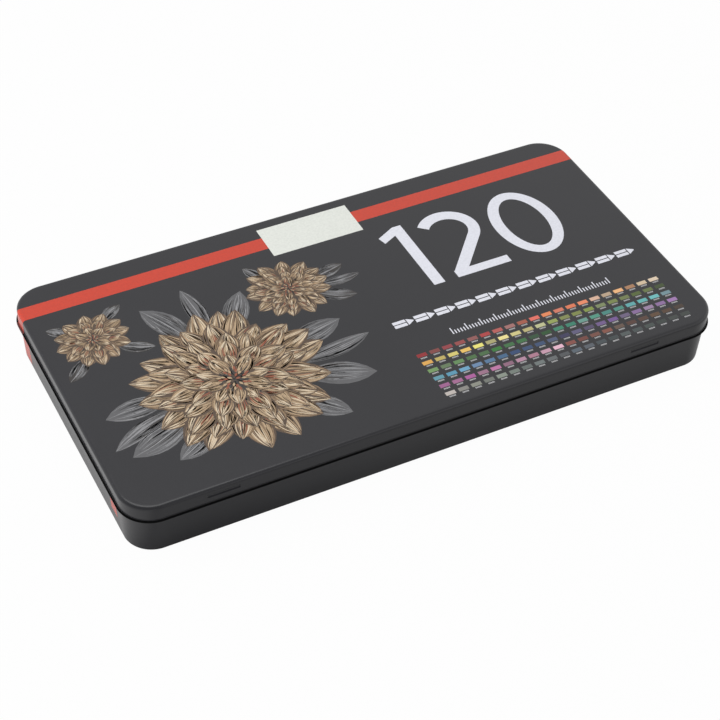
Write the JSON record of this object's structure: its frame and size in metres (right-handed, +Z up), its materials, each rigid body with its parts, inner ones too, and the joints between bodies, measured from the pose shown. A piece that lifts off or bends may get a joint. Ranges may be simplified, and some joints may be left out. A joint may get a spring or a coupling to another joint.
{
  "type": "colored pencil tin",
  "caption": "Flat hinged tin for colored pencils: overlapping printed lid with rolled hem, tapered base, stacked grooved trays and sharpened pencils inside.",
  "frame": {"origin": "on the table under the middle of the base", "axes": "+X along the tin's length, +Y to the hinge at the back, +Z up"},
  "size_m": [0.386, 0.2018, 0.0369],
  "materials": {
    "printed_tin": "satin printed black",
    "black_tin": "satin black lacquer",
    "liner_foam": "soft closed-cell foam, charcoal",
    "steel_wire": "drawn wire",
    "tray_plastic": "formed sheet, fine matte",
    "pencil_wood": "black lacquered barrel, bare wood where sharpened",
    "lead_yellow": "waxy pigment",
    "lead_orange": "waxy pigment",
    "lead_red": "waxy pigment",
    "lead_pink": "waxy pigment",
    "lead_violet": "waxy pigment",
    "lead_blue": "waxy pigment",
    "lead_turquoise": "waxy pigment",
    "lead_green": "waxy pigment",
    "lead_olive": "waxy pigment",
    "lead_brown": "waxy pigment",
    "lead_grey": "waxy pigment",
    "lead_dark": "waxy pigment"
  },
  "bodies": {
    "base": {"base_shell": "black_tin", "hinge_strap_left": "black_tin", "hinge_strap_right": "black_tin", "tray_top": "tray_plastic", "tray_middle": "tray_plastic", "tray_bottom": "tray_plastic", "pencil_casings_yellow": "pencil_wood", "pencil_leads_yellow": "lead_yellow", "pencil_casings_orange": "pencil_wood", "pencil_leads_orange": "lead_orange", "pencil_casings_red": "pencil_wood", "pencil_leads_red": "lead_red", "pencil_casings_pink": "pencil_wood", "pencil_leads_pink": "lead_pink", "pencil_casings_violet": "pencil_wood", "pencil_leads_violet": "lead_violet", "pencil_casings_blue": "pencil_wood", "pencil_leads_blue": "lead_blue", "pencil_casings_turquoise": "pencil_wood", "pencil_leads_turquoise": "lead_turquoise", "pencil_casings_green": "pencil_wood", "pencil_leads_green": "lead_green", "pencil_casings_olive": "pencil_wood", "pencil_leads_olive": "lead_olive", "pencil_casings_brown": "pencil_wood", "pencil_leads_brown": "lead_brown", "pencil_casings_grey": "pencil_wood", "pencil_leads_grey": "lead_grey", "pencil_casings_dark": "pencil_wood", "pencil_leads_dark": "lead_dark"},
    "lid": {"lid_shell": "printed_tin", "lid_liner": "liner_foam", "hinge_wire": "steel_wire"}
  },
  "joints": [
    {"name": "lid_hinge", "type": "hinge", "parent": "base", "child": "lid", "pos_m": [0, 0.10018, 0.02619], "axis": [-1, 0, 0], "range_deg": [0, 110]}
  ]
}
